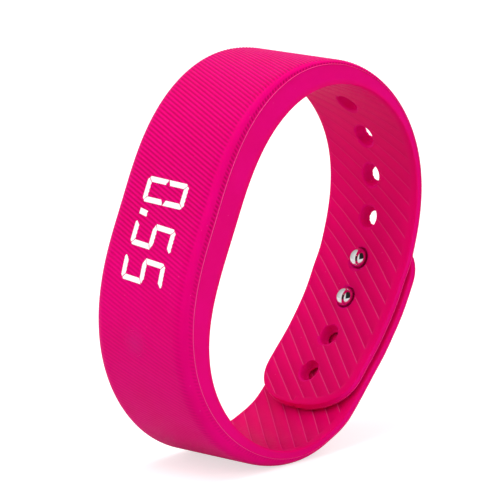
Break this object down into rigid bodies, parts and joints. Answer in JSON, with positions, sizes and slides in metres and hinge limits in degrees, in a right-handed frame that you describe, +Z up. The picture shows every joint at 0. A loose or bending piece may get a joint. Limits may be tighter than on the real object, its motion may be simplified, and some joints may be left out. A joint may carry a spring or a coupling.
{
  "type": "fitness tracker band",
  "caption": "Closed silicone wristband with slanting ribs, a lit three-digit display, a soft key, a two-stud clasp over a row of holes and a pull-out electronic core.",
  "frame": {"origin": "middle of the bottom face of the whole object's box, with the closed band standing upright", "axes": "+Z up along the long way of the loop, +X across the band's width, the display faces -Y and slightly up"},
  "size_m": [0.0274, 0.0721, 0.0839],
  "materials": {
    "silicone": "hot pink matte silicone with fine slanting ribs on its outer face",
    "clasp_steel": "satin stainless steel",
    "stud_chrome": "polished",
    "casing_gloss": "smoked glossy polycarbonate",
    "casing_matte": "fine matte texture",
    "seal_rubber": "soft grey gasket",
    "board_green": "solder resist over glass laminate",
    "flex_amber": "amber flexible circuit",
    "white_plastic": "bright white moulding",
    "light_guide": "clear diffusing light guide, lit white",
    "chip_black": "moulded package",
    "can_steel": "bright nickel",
    "battery_foil": "laminated foil pouch",
    "board_blue": "solder resist over glass laminate",
    "wire_red": "insulated wire",
    "wire_black": "insulated wire",
    "contact_gold": "gold plated"
  },
  "bodies": {
    "sleeve": {"band_sleeve": "silicone"},
    "hole_strap_upper": {"hole_strap_upper": "silicone"},
    "hole_strap_end": {"hole_strap_end": "silicone"},
    "stud_strap_root": {"stud_strap_root": "silicone"},
    "stud_strap_end": {"stud_strap_end": "silicone", "clasp_plate": "clasp_steel", "clasp_stud_1": "stud_chrome", "clasp_stud_2": "stud_chrome"},
    "core": {"core_front_cover": "casing_gloss", "core_back_cover": "casing_matte", "casing_seal": "seal_rubber", "main_board": "board_green", "display_board": "flex_amber", "display_reflector": "white_plastic", "digit_guide_1": "light_guide", "digit_guide_2": "light_guide", "digit_guide_3": "light_guide", "decimal_point": "light_guide", "controller_chip": "chip_black", "motion_sensor": "chip_black", "led_driver": "chip_black", "charge_chip": "chip_black", "crystal": "can_steel", "switch_base": "can_steel", "battery_cell": "battery_foil", "battery_board": "board_blue", "battery_lead_red": "wire_red", "battery_lead_black": "wire_black", "usb_tongue": "white_plastic", "usb_contact_1": "contact_gold", "usb_contact_2": "contact_gold", "usb_contact_3": "contact_gold", "usb_contact_4": "contact_gold"},
    "key": {"key_membrane": "silicone"},
    "key_stack": {"key_plunger": "casing_matte", "switch_plunger": "white_plastic"}
  },
  "joints": [
    {"name": "strap_open", "type": "hinge", "parent": "sleeve", "child": "stud_strap_root", "pos_m": [0, -0.01241, 0.00065], "axis": [-1, 0, 0], "range_deg": [0, 55], "stiffness_Nm_per_rad": 0.02, "springref_deg": -11.46},
    {"name": "stud_strap_peel", "type": "hinge", "parent": "stud_strap_root", "child": "stud_strap_end", "pos_m": [0, 0.00833, 0.00415], "axis": [-1, 0, 0], "range_deg": [0, 55]},
    {"name": "hole_strap_lift", "type": "hinge", "parent": "sleeve", "child": "hole_strap_upper", "pos_m": [0, 0.02023, 0.07993], "axis": [1, 0, 0], "range_deg": [0, 5]},
    {"name": "hole_strap_spread", "type": "hinge", "parent": "hole_strap_upper", "child": "hole_strap_end", "pos_m": [0, 0.03535, 0.04835], "axis": [1, 0, 0], "range_deg": [0, 12]},
    {"name": "core_pull", "type": "slide", "parent": "sleeve", "child": "core", "axis": [0, 0.9025, -0.4306], "range_m": [0, 0.013]},
    {"name": "key_press", "type": "slide", "parent": "sleeve", "child": "key", "axis": [0, 0.9995, 0.0316], "range_m": [0, 0.0004], "stiffness_N_per_m": 1500, "springref_m": -0.0001},
    {"name": "switch_press", "type": "slide", "parent": "core", "child": "key_stack", "axis": [0, 0.9995, 0.0316], "range_m": [0, 0.0004]}
  ],
  "couplings": [
    {"joint": "stud_strap_peel", "follows": "strap_open", "ratio": 1},
    {"joint": "hole_strap_lift", "follows": "strap_open", "ratio": 0.0909},
    {"joint": "hole_strap_spread", "follows": "strap_open", "ratio": 0.218},
    {"joint": "switch_press", "follows": "key_press", "ratio": 1}
  ]
}
